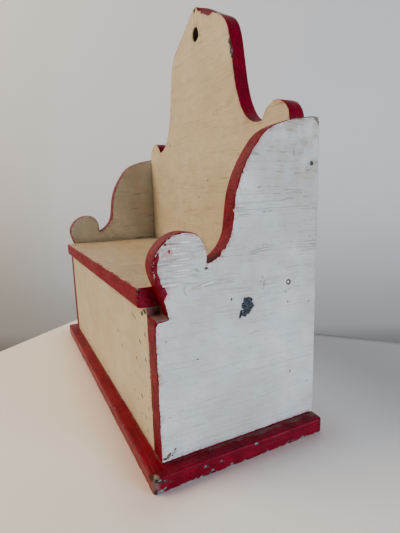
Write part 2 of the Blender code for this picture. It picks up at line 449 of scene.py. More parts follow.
def on_face(axis, plane, from_u=0.0):
    """A maker of marks on one face, placed by its two coordinates and two radii in mm."""
    u, v, w = AXES[axis]

    def make(kind, at_u, at_v, radius_u, radius_v=None, depth=None, lean=0.0):
        at, radii = [0.0] * 3, [2.5] * 3
        at[u], at[v], at[w] = from_u + at_u, at_v, plane
        radii[u], radii[v] = radius_u, radius_v or radius_u
        usual = DEPTHS.get(kind, 0.2)
        return Mark(kind, at, radii, usual if depth is None else depth, axis, lean)

    return make


def worn_push(board, seed, dents):
    """How far wear has moved each point along its normal: hand-planed faces, bruised arrises."""
    p = board.position
    near_arris = np.exp(-(board.rim / 2.2) ** 2)
    push = 0.10 * value_noise(p, 55, seed) + 0.05 * value_noise(p, 12, seed + 1)
    bruise = value_noise(p, 4.5, seed + 2) * 0.5 + value_noise(p, 9, seed + 3) * 0.5
    push -= near_arris * dents * np.clip(bruise - 0.15, 0, 1)
    for m, value in zip(board.marks, board.mark_values):
        push -= m.depth * smooth_step(value, -0.35, 0.45)
    return push


# Materials

class Nodes:
    """Builds one material's node tree. Each helper takes plain values or sockets."""

    def __init__(self, name):
        self.material = bpy.data.materials.new(name)
        self.material.use_nodes = True
        self.tree = self.material.node_tree
        self.tree.nodes.clear()
        self.place = self.scaled(self.node("TexCoord", output="Object"), MM)

    def node(self, kind, values=(), output=0, **settings):
        node = self.tree.nodes.new("ShaderNode" + kind)
        for key, value in settings.items():
            setattr(node, key, value)
        for key, value in dict(values).items():
            self.feed(node.inputs[key], value)
        return node.outputs[output]

    def feed(self, socket, value):
        if isinstance(value, bpy.types.NodeSocket):
            self.tree.links.new(value, socket)
        elif socket.type == "RGBA":
            socket.default_value = (*value, 1)
        else:
            socket.default_value = value

    def output(self, shader):
        """Ends the tree in this shader and returns its material."""
        end = self.tree.nodes.new("ShaderNodeOutputMaterial")
        self.tree.links.new(shader, end.inputs["Surface"])
        return self.material

    def math(self, operation, a, b=0.0):
        return self.node("Math", {0: a, 1: b}, operation=operation)

    def vector(self, operation, a, b=(0, 0, 0), output=0):
        return self.node("VectorMath", {0: a, 1: b}, output, operation=operation)

    def axis(self, place, letter):
        return self.node("SeparateXYZ", {0: place}, letter)

    def mix(self, share, a, b):
        return self.node("Mix", {0: share, 6: a, 7: b}, output=2, data_type="RGBA")

    def over(self, base, *coats):
        """The base with coats over it: each is a mask, how strong the coat is there, and its colour."""
        for mask, share, colour in coats:
            base = self.mix(self.times(mask, share), base, colour)
        return base

    def band(self, value, start, end, low_value=0.0, high_value=1.0):
        """Turns smoothly from low_value at start to high_value at end."""
        values = {0: value, 1: start, 2: end, 3: low_value, 4: high_value}
        return self.node("MapRange", values, interpolation_type="SMOOTHSTEP")

    def layer(self, name):
        return self.node("Attribute", output="Fac", attribute_name=name)

    def scaled(self, place, sizes):
        """The place divided by one size, or by one for each axis."""
        return self.vector("MULTIPLY", place, tuple(1 / np.broadcast_to(sizes, 3)))

    def noise(self, place, sizes, detail=2.0, rough=0.5, offset=0.0):
        """Noise from 0 to 1 with blobs of one size in mm, or of one size along each axis."""
        shifted = self.vector("ADD", place, (offset,) * 3)
        values = {"Vector": self.scaled(shifted, sizes), "Scale": 1.0, "Detail": detail}
        return self.node("TexNoise", {**values, "Roughness": rough}, output="Fac")

    def off_half(self, noise):
        """How far the noise is from its middle value, either way."""
        return self.math("ABSOLUTE", self.math("SUBTRACT", noise, 0.5))

    def any_of(self, *shares):
        return reduce(partial(self.math, "MAXIMUM"), shares)

    def total(self, *terms):
        return reduce(partial(self.math, "ADD"), terms)

    def times(self, a, b):
        return self.math("MULTIPLY", a, b)

    def surface(self, colour, rough, height, strength=1.0, depth=MM, **more):
        """A Principled shader with a bump."""
        bump = self.node("Bump", {"Strength": strength, "Distance": depth, "Height": height})
        values = {"Base Color": colour, "Roughness": rough, "Normal": bump, **more}
        return self.node("BsdfPrincipled", values)


CREAM = (0.675, 0.585, 0.420)
CREAM_DEEP = (0.590, 0.480, 0.315)
# A dirty cream, also used for painted shade
CREAM_DIRT_AND_SHADE = (0.330, 0.240, 0.150)
LID_CREAM = (0.560, 0.475, 0.340)
LID_DEEP = (0.500, 0.408, 0.275)
RED = (0.200, 0.0, 0.012)
RED_DEEP = (0.085, 0.0, 0.005)
# A lighter red for worn arrises, also a painted highlight there
RED_WORN_AND_SHEEN = (0.255, 0.005, 0.020)
WOOD = (0.370, 0.275, 0.180)
WOOD_DARK = (0.205, 0.140, 0.088)
GRIME = (0.034, 0.024, 0.016)
EDGE_BROWN = (0.200, 0.170, 0.135)
UNDERCOAT = (0.340, 0.325, 0.305)
CHIP_BLUE = (0.062, 0.070, 0.082)
# The sides' cream is a cooler, whiter copy of the cream, standing in for the cool light on them; the
# left side's is lighter still, offsetting the shade on its inner face
CHEEK_CREAM_COOL_LIT = (0.710, 0.705, 0.645)
LEFT_CREAM_LIGHTENED = (0.800, 0.805, 0.790)
CHEEK_DEEP = (0.540, 0.505, 0.440)
CREAM_TINT = (0.620, 0.520, 0.330)
CHEEK_TINT = (0.560, 0.615, 0.570)
PINK = (0.520, 0.230, 0.220)
# Dust, also used for painted shade
DUST_AND_SHADE = (0.200, 0.135, 0.118)
IRON, WIRE, RUST = (0.045, 0.038, 0.034), (0.060, 0.050, 0.044), (0.130, 0.048, 0.020)
# The colour of a painted red reflection and shadow on the floor round the box
PAINTED_RED_REFLECTION = (0.66, 0.36, 0.29)
PAINT_SPECULAR = 0.08


def shaded(colour, factor):
    return tuple(min(1, factor * part) for part in colour)


def painted_material(
    name, face, along, seed, under=UNDERCOAT, cream=CREAM, deep=CREAM_DEEP, tint=CREAM_TINT,
    cracks=1.0, wear=0.5, relief=0.4
):
    """Old oil paint over softwood, its faces square to one axis and its grain along another."""
    t = Nodes(name)
    band, times, total, mix, over = t.band, t.times, t.total, t.mix, t.over
    place, thick = t.place, AXES[face][2]

    def noise(sizes, detail, rough, number, at=place, way=along):
        """Noise with blobs of one size, or of a length that way and a width across it."""
        if isinstance(sizes, tuple):
            sizes = tuple(sizes[k != way] for k in range(3))
        return t.noise(at, sizes, detail, rough, seed + number)

    wobble = noise(2.6, 3, 0.6, 0)
    broad = noise(60, 2, 0.5, 3)
    tinted = noise(24, 3, 0.6, 4)
    patch = noise((30, 11), 3, 0.55, 5)
    cloud = noise(13, 3, 0.6, 6)
    streak = noise((60, 1.6), 3, 0.6, 7)
    brush = noise((1.1, 45), 2, 0.6, 9, way=thick)
    bend = times(t.math("SUBTRACT", noise(34, 2, 0.5, 10), 0.5), 5.0)
    bent = t.vector("ADD", place, t.node("CombineXYZ", {"Z": bend}))
    grain = noise((300, 11), 3, 0.6, 11, bent)
    pores = noise((9, 0.45), 2, 0.5, 13)
    fine = noise(0.8, 2, 0.6, 17)
    lumps = noise(5.0, 2, 0.5, 19)
    off = t.math("SUBTRACT", wobble, 0.5)
    fine_off = t.math("SUBTRACT", fine, 0.5)

    def edge_of(layer, reach, fine_reach=0.0):
        return total(t.layer(layer), times(off, reach), times(fine_off, fine_reach))

    # Fine cracks where the grain shows through the paint, each with a raised lip
    ridge = t.off_half(grain)
    thin_ridge = t.off_half(noise((150, 3.2), 2, 0.5, 12, bent))
    here = times(band(cloud, 0.42, 0.54), band(patch, 0.46, 0.57))
    thin_here = times(band(lumps, 0.46, 0.56), band(cloud, 0.40, 0.52))
    long_ridge = t.off_half(noise((420, 17), 1, 0.5, 14, bent))
    long_ridge = total(long_ridge, times(fine_off, 0.008))
    long_here = band(noise((70, 26), 1, 0.5, 15), 0.50, 0.56)
    crack = t.any_of(
        times(band(ridge, 0.0012, 0.0050, 1, 0), here),
        times(band(thin_ridge, 0.003, 0.014, 1, 0), times(thin_here, 0.7)),
        times(band(long_ridge, 0.002, 0.007, 1, 0), times(long_here, 0.8)),
    )
    crack = times(crack, t.layer("cracked"))
    lip = times(band(ridge, 0.002, 0.022, 1, 0), band(patch, 0.40, 0.50))

    # Fly specks and pinholes
    cells = t.node("TexVoronoi", {"Vector": t.scaled(place, 8.5), "Scale": 1.0})
    speck = band(total(cells, times(off, 0.05)), 0.03, 0.05, 1, 0)
    speck = times(speck, band(lumps, 0.5, 0.52))
    small = t.node("TexVoronoi", {"Vector": t.scaled(place, 3.1), "Scale": 1.0})
    small = times(band(small, 0.05, 0.10, 1, 0), band(cloud, 0.46, 0.6))

    red_edge = edge_of("red", 1.3)
    red = band(red_edge, -0.12, 0.12)
    smear = times(band(red_edge, -5.0, 0.0), band(total(wobble, cloud), 0.92, 1.15))
    chip_edge = edge_of("chip", 0.8, 1.1)
    chip = band(chip_edge, -0.05, 0.1)
    # A painted shade along the inside of each chip's edge
    chip_edge_shade = times(chip, band(chip_edge, 0.15, 0.5, 1, 0))
    # Raised paint ridges: a painted highlight on top and a painted shadow round their foot
    ridge_edge = edge_of("ridge", 0.3, 0.3)
    ridge_highlight = band(ridge_edge, -0.1, 0.3)
    ridge_shadow = times(band(ridge_edge, -1, -0.3), band(ridge_edge, -0.3, 0, 1, 0))
    bare_edge = edge_of("bare", 1.8, 0.8)
    bare = band(bare_edge, -0.2, 0.2)
    dark = band(edge_of("dark", 0.7, 0.9), -0.1, 0.2)
    stain = band(edge_of("stain", 1.0, 1.2), -0.5, 0.6)
    # Grime, and painted shade where a board lays it in this layer
    grime_and_shade = band(total(t.layer("grime_and_shade"), times(off, 3.0)), -0.2, 2.0)
    grime_and_shade = times(grime_and_shade, band(fine, 0.1, 0.5, 0.6, 1.0))
    edge = band(t.math("ABSOLUTE", t.layer("rim")), 0, 1.1, 1, 0)
    rubbed = total(wobble, times(lumps, 0.8), times(edge, 0.42), times(fine_off, 0.15))
    rubbed = times(band(rubbed, 1.38 - 0.16 * wear, 1.46 - 0.16 * wear), band(edge, 0.05, 0.4))

    # Colours
    white = over(
        mix(band(broad, 0.35, 0.7), cream, deep), (band(cloud, 0.45, 0.8), 0.5, deep),
        (band(patch, 0.55, 0.85), 0.3, shaded(deep, 0.85)), (band(tinted, 0.46, 0.64), 0.72, tint),
        (band(wobble, 0.48, 0.70), 0.40, deep), (band(streak, 0.55, 0.8), 0.18, CREAM_DIRT_AND_SHADE),
        (band(fine, 0.55, 0.8), 0.28, CREAM_DIRT_AND_SHADE), (ridge_highlight, 0.75, shaded(cream, 1.3)),
        (ridge_shadow, 0.42, CREAM_DIRT_AND_SHADE), (smear, 0.75, PINK)
    )
    # Red, lighter in blotches and where rubbed at the arrises: wear, and a painted highlight there
    crimson = over(
        RED, (band(patch, 0.35, 0.7), 0.5, RED_DEEP), (band(brush, 0.48, 0.68), 0.7, RED_DEEP),
        (band(lumps, 0.62, 0.75), 0.12, RED_WORN_AND_SHEEN), (rubbed, 0.75, RED_WORN_AND_SHEEN)
    )
    wood = over(
        WOOD, (band(grain, 0.35, 0.65), 0.6, WOOD_DARK), (band(streak, 0.45, 0.7), 0.35, WOOD_DARK),
        (band(pores, 0.5, 0.7), 0.4, WOOD_DARK), (band(broad, 0.4, 0.7), 0.12, GRIME)
    )
    wood_edge = band(bare_edge, 0.1, 1.4, 0.6, 0)
    mottled = band(total(wobble, times(fine_off, 1.6)), 0.44, 0.6)
    layer_below = over(mix(mottled, under, shaded(under, 0.3)), (chip_edge_shade, 0.7, GRIME))
    soiled = band(total(cloud, times(patch, 0.6)), 0.55, 1.0, 0.35, 1.0)
    flecks = t.any_of(times(crack, cracks), speck, times(small, 0.55))
    # Over the cream: dirt, with painted shade on some boards
    colour = over(
        mix(red, over(white, (t.layer("dirt_and_shade"), soiled, CREAM_DIRT_AND_SHADE)), crimson),
        (rubbed, t.math("SUBTRACT", 1.0, red), wood), (flecks, 0.74, GRIME), (stain, 0.5, GRIME)
    )
    colour = mix(bare, mix(chip, colour, layer_below), mix(wood_edge, wood, GRIME))
    colour = over(colour, (grime_and_shade, 0.72, DUST_AND_SHADE), (dark, 0.93, GRIME))

    open_wood = t.any_of(bare, chip)
    height = total(
        times(streak, relief), times(lumps, 0.30), times(fine, 0.10),
        times(brush, times(red, 0.42)), times(cloud, 0.35), times(lip, 0.2),
        times(crack, -0.25), times(chip, -0.22), times(red, 0.16),
        times(t.any_of(speck, small), -0.15), times(times(pores, open_wood), -0.25),
        times(rubbed, -0.10),
    )
    rough = total(
        band(patch, 0.3, 0.8, 0.26, 0.42), times(t.any_of(open_wood, grime_and_shade), 0.28),
        times(rubbed, 0.16), times(fine, 0.06),
    )
    return t.output(t.surface(colour, rough, height, **{"Specular IOR Level": PAINT_SPECULAR}))


def iron_material(name, seed):
    """Hand-cut iron, dark and rusty, with paint caught on it."""
    t = Nodes(name)
    rust = t.noise(t.place, 1.4, 4, 0.6, seed)
    fine = t.noise(t.place, 0.4, 3, 0.6, seed + 3)
    paint = t.band(t.noise(t.place, 2.2, 2, 0.5, seed + 9), 0.52, 0.58)
    colour = t.over(t.mix(t.band(rust, 0.4, 0.65), IRON, RUST), (paint, 0.7, CREAM_DEEP))
    height = t.total(t.times(rust, 0.2), t.times(fine, 0.1), t.times(paint, 0.1))
    rough = t.band(rust, 0.3, 0.7, 0.5, 0.85)
    return t.output(t.surface(colour, rough, height, Metallic=t.band(rust, 0.35, 0.5, 0.7, 0.0)))


def pin_material(name, seed):
    """A wire pin whose outer end was painted over with the side."""
    t = Nodes(name)
    across = t.math("ABSOLUTE", t.axis(t.place, "X"))
    rust = t.noise(t.place, 0.8, 4, 0.6, seed)
    painted = t.band(t.total(across, t.times(rust, 0.8)), OUTER - 0.6, OUTER - 0.1)
    colour = t.mix(painted, t.mix(t.band(rust, 0.4, 0.65), WIRE, RUST), CHEEK_CREAM_COOL_LIT)
    off_axis = t.vector("MULTIPLY", t.vector("SUBTRACT", t.place, (0, PIN_Y, PIN_Z)), (0, 1, 1))
    from_axis = t.vector("LENGTH", off_axis, output="Value")
    colour = t.mix(t.band(t.total(from_axis, t.times(rust, 0.5)), 1.15, 1.55), colour, GRIME)
    return t.output(t.surface(colour, t.band(painted, 0.0, 1.0, 0.62, 0.42), t.times(rust, 0.2)))


# What happened to each board, and the painted shade on some. A layer is above 0 where its damage,
# paint or painted shade is, and its value is about the distance from the damage's edge.

def behind(position, y):
    """Rises quickly past y towards the rear, for boards that were painted on their front only."""
    return 4 * (position[:, 1] - y)


def red_lap(board, base, extra=0.0):
    """How far red paint from the rim runs on to a face: a wandering line near the arris."""
    p = board.position
    lap = base + 0.5 * value_noise(p, 9, 41) + 0.35 * value_noise(p, 3, 42)
    return lap + extra - board.rim


def ranged(values, start, end, blur):
    """1 between start and end, falling off to 0 over blur outside."""
    return smooth_step(values, start - blur, start) * (1 - smooth_step(values, end, end + blur))


def nail_marks(face, dark_one):
    """A dimple over each nail whose head is just inside that outer face of a cheek."""
    make, found = on_face("X", face), []
    for name in frame["nodes"]:
        head = high(name)[0] if face > 0 else low(name)[0]
        if "nail" in name and abs(head - face) < 1.2:
            _, y, z = (low(name) + high(name)) / 2
            kind, size, depth = ("dark", 1.6, 0.45) if name == dark_one else ("stain", 0.9, 0.3)
            found.append(make(kind, y, z, size, depth=depth))
    return found


def right_cheek_marks():
    make = on_face("X", OUTER, FRONT)
    return nail_marks(OUTER, "right_back_nail_4") + [
        # The big chip
        make("chip", 79.8, 129.5, 5.4, 7.2, 0.5, 10), make("chip", 77, 122.5, 2.6, 2.4),
        make("chip", 73.2, 122.5, 1.3, 3.4, 0.4, -12),
        # Specks and stains
        make("dark", 124, 61.5, 1, 1.6), make("dark", 33.5, 93, 0.9),
        make("dark", 64.5, 136, 0.7, 1.5), make("dark", 43, 163.5, 1.3, 1),
        make("stain", 94.5, 150.5, 1.3, 1.3), make("stain", 96, 145, 0.9, 3),
        make("stain", 92.5, 147, 1, 1.2), make("stain", 125, 250, 0.8, 3),
        make("dark", 118, 135, 0.8), make("dark", 121, 125.5, 0.9, 1.2, lean=30),
        # The worn lower front corner
        make("dark", 3, 17.6, 1.7, 1.3, 0.5, 20), make("bare", 5.6, 19, 2.2, 1.5, 0.4, 30),
        make("dark", 6.6, 20.6, 1.8, 0.8, 0.3, 25), make("dark", 8.9, 18.6, 1.1, 0.8, 0.3),
        make("dark", 11.4, 23.2, 1.4, 0.8, 0.3, 40), make("stain", 10.5, 20.5, 1.6, 1),
        # Round the pin, then the worn top corner
        make("dent", PIN_Y - FRONT, PIN_Z, 2.4, depth=0), make("bare", 151, 277.5, 4.8, 3.2, 0.7),
        make("dark", 151.6, 272.6, 1.2, 2, 0.4),
        # Strays of the red edge, and gaps in it
        make("dark", 76, 235, 1, 3.6, 0.5, 18), make("red", 7.6, 148.6, 3, 4.4, -0.35),
        make("red", 11, 184, 1.8, 0.5, -0.1, 40), make("red", 13.5, 179, 0.5, 1.4, -0.1),
        make("flake", 9.6, 187.4, 1.3, 0.6, 0.15, 45), make("stain", 5.2, 179.5, 1.2, 0.5, lean=45),
        make("flake", 69, 206, 0.8, 1.8), make("flake", 58, 174.5, 1.6, 0.7, 0.15, 50),
        # Thick paint on the scroll, with a painted highlight and shadow
        make("ridge", 12.5, 154.6, 9, 0.9, -1.1), make("dent", 28.5, 148.6, 4.6, 5, -0.8),
        make("ridge", 43, 151.5, 9, 0.8, -0.7, 12),
    ] + [
        make("ridge", 21 + 4 * math.sin(2.3 * i), 160 + 4.1 * i, 7.5, 0.65, -0.3, 3 * math.sin(5 * i))
        for i in range(7)
    ]


def left_cheek_marks():
    inner, outer = on_face("X", -INNER, FRONT), on_face("X", -OUTER, FRONT)
    return nail_marks(-OUTER, "left_back_nail_2") + [
        # Inside
        inner("stain", 110, 152, 7, 1.6), inner("stain", 130, 152, 2.2, 1.3),
        inner("stain", 133, 264, 1), inner("stain", 133, 179, 1),
        # Outside
        outer("chip", 30, 60, 2.8, 1.9), outer("chip", 96, 201, 1.7, 2.5),
        outer("dark", 60, 96, 1), outer("dark", 118, 150, 0.8, 1.8),
        outer("dark", 4, 18, 3.4, 3, 0.5, 20), outer("bare", 150, 275, 3, 3, 0.7),
        outer("dark", 100, 30, 1),
    ]


def finish_cheek(side, name, node, marks, seed):
    bore = ((PIN_Y, PIN_Z), BORE_RADIUS, BORE_ARRIS)
    board = Board(node, "X", 0.8, 1.0, holes=[bore], marks=marks)
    p = board.position
    outside = side * p[:, 0] > (OUTER + INNER) / 2
    p[:, 0] += side * seat_on_base(board, OUTER - side * p[:, 0])
    out, y, z = side * p[:, 0], p[:, 1] - FRONT, p[:, 2]
    # Red on the edge, with a wider lap on the face at three places
    scroll = ranged(z, 149, 174, 7) * ranged(y, -1, 26, 6) * outside
    foot = (1 - smooth_step(z - BASE_TOP, 0.6, 2.6)) * outside
    notch = ranged(z, 126, 129.5, 2) * ranged(y, 1, 12, 2) * outside
    red = red_lap(board, 0.35, 3.4 * scroll + 1.5 * foot + 1.7 * notch)
    # None of it round the pin or at the rear, worn patches on the scroll, a faint smear beside them
    from_pin = np.hypot(p[:, 1] - PIN_Y, z - PIN_Z)
    red = np.where(from_pin < 6, -4, np.maximum(red, board.marked("red", -12)))
    rubbed = ranged(z, 160, 188, 5) * ranged(y, -1, 22, 3) * ranged(board.rim, -1.6, 0.9, 0.8) * outside
    red = np.where(rubbed > 0.5, np.minimum(red, 0.24 + 0.5 * value_noise(p, 4, 49)), red)
    ghost = 0.55 - 0.32 * np.hypot(y - 11, (z - 180) * 0.8)
    red = np.where(outside & (board.rim > 0), np.maximum(red, np.minimum(ghost, -0.3)), red)
    at_rear = (y > REAR - FRONT - 4) | ((y > 104) & (z > CHEEK_TOP - 3))
    red = np.where(at_rear, -4, np.minimum(red, -board.marked("flake")))
    # Dark lines, grime, a painted shadow under the lid's end and the places that were never painted
    top_line = np.where((y > 96) & (z > CHEEK_TOP - 4), 0.9 - np.abs(board.rim), CLEAR)
    corner = 5.5 - 0.8 * np.hypot(y - (REAR - FRONT), z - CHEEK_TOP)
    hidden = np.where(~outside & (y > 16), LID_BOTTOM - 1.5 - z, -9)
    ledge = np.where(ranged(y, 1.8, 9.5, 1.5) > 0.5, 2.4 - np.abs(z - LEDGE) * 1.4, CLEAR)
    # Painted shadow of the lid in the gap below its end
    in_gap = (y > 8) & (y < 13) & (z > LEDGE) & (out < INNER + 5)
    lid_shadow = np.where(in_gap, 1.6 * (LID_BOTTOM + 1 - z), CLEAR)
    # Darker towards the top and the rear
    upper, rear = smooth_step(z, 170, 275), smooth_step(y, 60, 150)
    dirt_and_shade = 0.05 + 0.10 * upper + rear * (0.20 * smooth_step(z, 60, 150) + 0.34 * upper)
    cracked = 0.25 + 0.58 * smooth_step(z, 110, 190) - 0.22 * smooth_step(z, 225, 265)
    layers = {
        "red": red,
        "bare": most(hidden, behind(p, REAR - 0.6)),
        "grime_and_shade": most(np.where(outside, 0.3 - (z - BASE_TOP) * 1.3, CLEAR), ledge, lid_shadow, corner),
        "dark": most(2.5 - from_pin, top_line),
        "dirt_and_shade": np.where(outside, dirt_and_shade, 0.0),
        "cracked": np.where(outside, cracked, 0.4),
    }
    # The sides' creams are lit copies: cool for the right, lighter for the left
    board.finish(
        name, "cheek_paint", "X", 1, seed, layers, under=CHIP_BLUE,
        cream=CHEEK_CREAM_COOL_LIT if side > 0 else LEFT_CREAM_LIGHTENED, deep=CHEEK_DEEP, tint=CHEEK_TINT, relief=0.7
    )


def seat_on_base(board, below_face):
    """Squares off the lower arris, where paint fills the joint, and closes the gap under it."""
    p = board.position
    above = p[:, 2] - board.low[2]
    arris = (above < 1.6) & (below_face > -0.1) & (below_face < 1.6)
    out = np.where(arris & (below_face < above + 0.01), below_face, 0)
    p[arris & (below_face >= above - 0.01), 2] = board.low[2]
    p[:, 2] -= 0.28 * (1 - smooth_step(above, 0, 1.6))
    return out


def back_marks():
    make = on_face("Y", BACK_FACE)
    return [
        # Stains on the face
        make("stain", 22, 235, 2.8, 1.6), make("stain", 60, 236, 10, 0.6), make("dark", -3, 216, 1.2),
        make("stain", -90, 290, 2, 1.6), make("dark", 14, 391.5, 2.6, 0.6, 0.2, 6),
        # Chips on the edge's right side
        make("dark", 77.8, 372, 3.4, 3.4, 0.8), make("chip", 80.2, 364, 3.6, 8, 0.8, 8),
        make("dark", 81.6, 357, 2, 3.2, 0.5), make("dark", 79.2, 366, 1.2, 3, 0.4, 8),
        # The worn peak, with drips of paint above the hole that carry a painted highlight and shadow
        make("dark", -0.5, 431, 2.6, 3, 0.5), make("dark", 8.5, 428.5, 2.2, 1.8, 0.5),
        make("dark", 17, 421.5, 1.8, 1.5, 0.4), make("flake", 12, 425, 3.2, 2, 0.2),
        make("flake", 54, 407.5, 4.6, 2.2, 0.15, -35), make("ridge", -5, 420, 1.3, 8.5, -0.5, -8),
        make("ridge", 3.5, 419, 0.9, 7, -0.4, -8), make("dark", 12, 399.5, 1.4, 0.6, 0.2, 10),
    ]


def wear_slope(board):
    """The front arris right of the peak is worn down into a slope, which the red paint covers."""
    x, y, z = board.position.T
    along = ranged(x, 12, 33, 11)
    into = 1 - smooth_step(y - BACK_FACE, 0, 11)
    down = 1 - smooth_step(board.rim, 0, 13)
    above_waist = smooth_step(z, HOLE_Z - 12, HOLE_Z + 4)
    z -= 5.2 * along * into * down * above_waist


def finish_back():
    hole = ((0, HOLE_Z), HOLE_RADIUS, 0.9)
    board = Board("back_board", "Y", 0.8, 1.0, holes=[hole], marks=back_marks())
    wear_slope(board)
    p = board.position
    x, y, z = p.T
    forward = y < (BACK_FACE + REAR) / 2
    near_hole = np.hypot(x, z - HOLE_Z) < HOLE_RADIUS + 6
    along_arris = ranged(z, 322, 372, 6) * (x > 0) * forward
    worn_line = 1.6 * value_noise(p, (2.5, 2.5, 6), 47) + 0.1 - np.abs(board.rim - 0.2)
    red = np.where(near_hole, -4, red_lap(board, 0.3))
    # Dirt, with painted shade: darker lower down between the sides, and near the edges
    shade_fading_upwards = 0.12 * smooth_step(z, LID_TOP, CHEEK_TOP)
    layers = {
        "red": np.minimum(red, -board.marked("flake")),
        "bare": most(behind(p, REAR - 0.6), LID_BOTTOM - z),
        "grime_and_shade": np.where(forward, 1.2 - np.abs(z - LID_TOP), CLEAR),
        # Inside the hanging hole the wood is darkened: dirt and painted shade
        "dark": most(np.where(near_hole, -0.9 - board.rim, CLEAR), worn_line - 3 * (1 - along_arris)),
        "dirt_and_shade": 0.24 - shade_fading_upwards + 0.15 * np.exp(-(board.rim / 7) ** 2),
    }
    board.finish(
        "hanging_back", "back_paint", "Y", 0, 61, layers, under=EDGE_BROWN, cracks=0.5,
        relief=0.15
    )


def front_marks():
    make = on_face("Y", FRONT)
    right_end = [
        (141.8, 118.6), (165, 90), (147.7, 78), (148, 51), (99, 48.4), (156, 35.7), (160, 127),
        (136.6, 120.7), (161.9, 128.2), (135.6, 43), (127.6, 47), (114, 55.7), (134.5, 67.3), (139, 82),
        (152, 101), (160, 66), (165, 48), (158, 24), (145, 33), (166, 112), (92, 77.6), (80, 89),
    ]
    flecks = []
    for x, z in right_end:
        size = (1.0 + 0.35 * math.sin(x * z)) * (1.35 if x > 128 else 1)
        flecks.append(make("dark", x, z, 1.35 * size, 0.85 * size, lean=-42))
    return flecks + [
        make("stain", -54.8, 115, 1.8, 0.9), make("chip", -98, 30, 2.4, 1.5, 0.35),
        make("chip", 24, 22, 1.7, 1.2, 0.35), make("dark", 168, 131, 4, 1.6, 0.4),
    ]


def finish_front():
    board = Board("front_board", "Y", 0.8, 0.9, marks=front_marks())
    p = board.position
    x, y, z = p.T
    y -= seat_on_base(board, y - FRONT)
    from_end, from_foot = INNER - np.abs(x), z - BASE_TOP
    lap = np.where(y < FRONT + 0.3, most(0.8 - from_end, 0.5 - from_foot), 0.7 - from_end)
    seam = np.where(x > 0, 1.1 - from_end - from_foot / 50, CLEAR)
    layers = {
        "red": np.maximum(lap + 0.5 * value_noise(p, 7, 45), -5),
        "bare": behind(p, FRONT + 14),
        "grime_and_shade": most(1.6 - from_end, 2.0 - from_foot),
        "dark": seam,
    }
    board.finish("box_front", "front_paint", "Y", 0, 83, layers, cracks=0.6)


def base_marks():
    side, front = on_face("X", BASE_SIDE, FRONT), on_face("Y", BASE_FRONT)
    left, top = on_face("X", -BASE_SIDE, FRONT), on_face("Z", BASE_TOP)
    edge_chips = (
        -6, 2, 13, 18, 22.5, 27, 36, 41, 52, 57, 68, 91, 104, 112, 119, 126, 130, 134, 138, 145,
    )
    low_chips = [
        make("chip", y + shift, z + 0.5 * math.sin(a * y), wide + 0.7 * math.sin(b * y), tall, 0.4)
        for make, shift, z, a, wide, b, tall in (
            (side, 0, 0.8, 9, 1.6, 5, 1.3), (left, 7, 0.6, 7, 1.5, 3, 1),
        )
        for y in edge_chips
    ]
    low_chips += [front("chip", 190 - 17 * i, 0.8, 1.8 + math.sin(3 * i), 1, 0.4) for i in range(22)]
    return low_chips + [
        # The bruised front corner
        side("bare", -10, 14, 3.4, 2, 0.9), side("dark", -9.6, 11.4, 2.2, 1, 0.6),
        side("chip", -6.8, 11.4, 2.4, 1.2, 0.6, -15), side("dark", -5.4, 9.4, 2.6, 0.9, 0.6, -10),
        side("chip", -2.4, 9.6, 2, 0.9), side("dark", -0.6, 8.2, 1.4, 0.7, 0.4),
        side("chip", 1.5, 7.4, 1.1, 0.6, 0.3), side("dark", -10.4, 2.4, 1.5, 2.2, 0.5),
        side("chip", -6.6, 2, 3.4, 1.2, 0.5, 25), side("chip", -2.6, 3.6, 2, 1, 0.4, 25),
        # Chips along the side
        side("chip", 17.3, 0.8, 3.2, 1.3), side("chip", 28.2, 1.4, 2, 1),
        side("chip", 31.5, 8.8, 1.6, 1.1, 0.35), side("dark", 33.2, 9.6, 1.1, 0.9, 0.35),
        side("chip", 34, 7.9, 0.9, 0.7, 0.3), side("chip", 45.9, 8.6, 1.9, 0.8, 0.35),
        side("dark", 47.6, 8.2, 0.8, 0.7, 0.35), side("stain", 35.7, 3.2, 2.6, 1.4),
        side("chip", 37.6, 3.4, 1.3, 0.9, 0.3), side("bare", 55.1, 2.4, 1.9, 1.2, 0.4),
        side("chip", 79.7, 12.4, 1.9, 1.1, 0.5), side("chip", 112.6, 1.6, 1.3, 0.7, 0.3, 20),
        side("chip", 117.5, 2.6, 1, 0.8, 0.3), side("chip", 121.8, 1.5, 1.5, 0.6, 0.3),
        side("chip", 127.5, 3.4, 0.9, 0.6, 0.3), side("chip", 133, 1.4, 1.2, 0.7, 0.3),
        side("chip", 114, 3.1, 1.2, 0.7, 0.3),
        # Chips along the front, and the corner seen from above
        front("chip", 89.5, 13, 1.5, 0.8), front("chip", 122.3, 13.2, 1.3, 0.7),
        front("chip", 154.6, 13, 1.8, 0.8), front("dark", 157.5, 13.2, 1, 0.7, 0.4),
        front("chip", 169.6, 12.4, 1.4, 0.8), front("dark", 198, 12.5, 3, 2.4, 0.7),
        front("chip", -60, 9, 1.6, 1.1, 0.35), front("chip", 20, 7, 1.4, 1, 0.35),
        top("bare", BASE_SIDE - 2.5, BASE_FRONT + 2.5, 3, 2.8, 0.6),
    ]


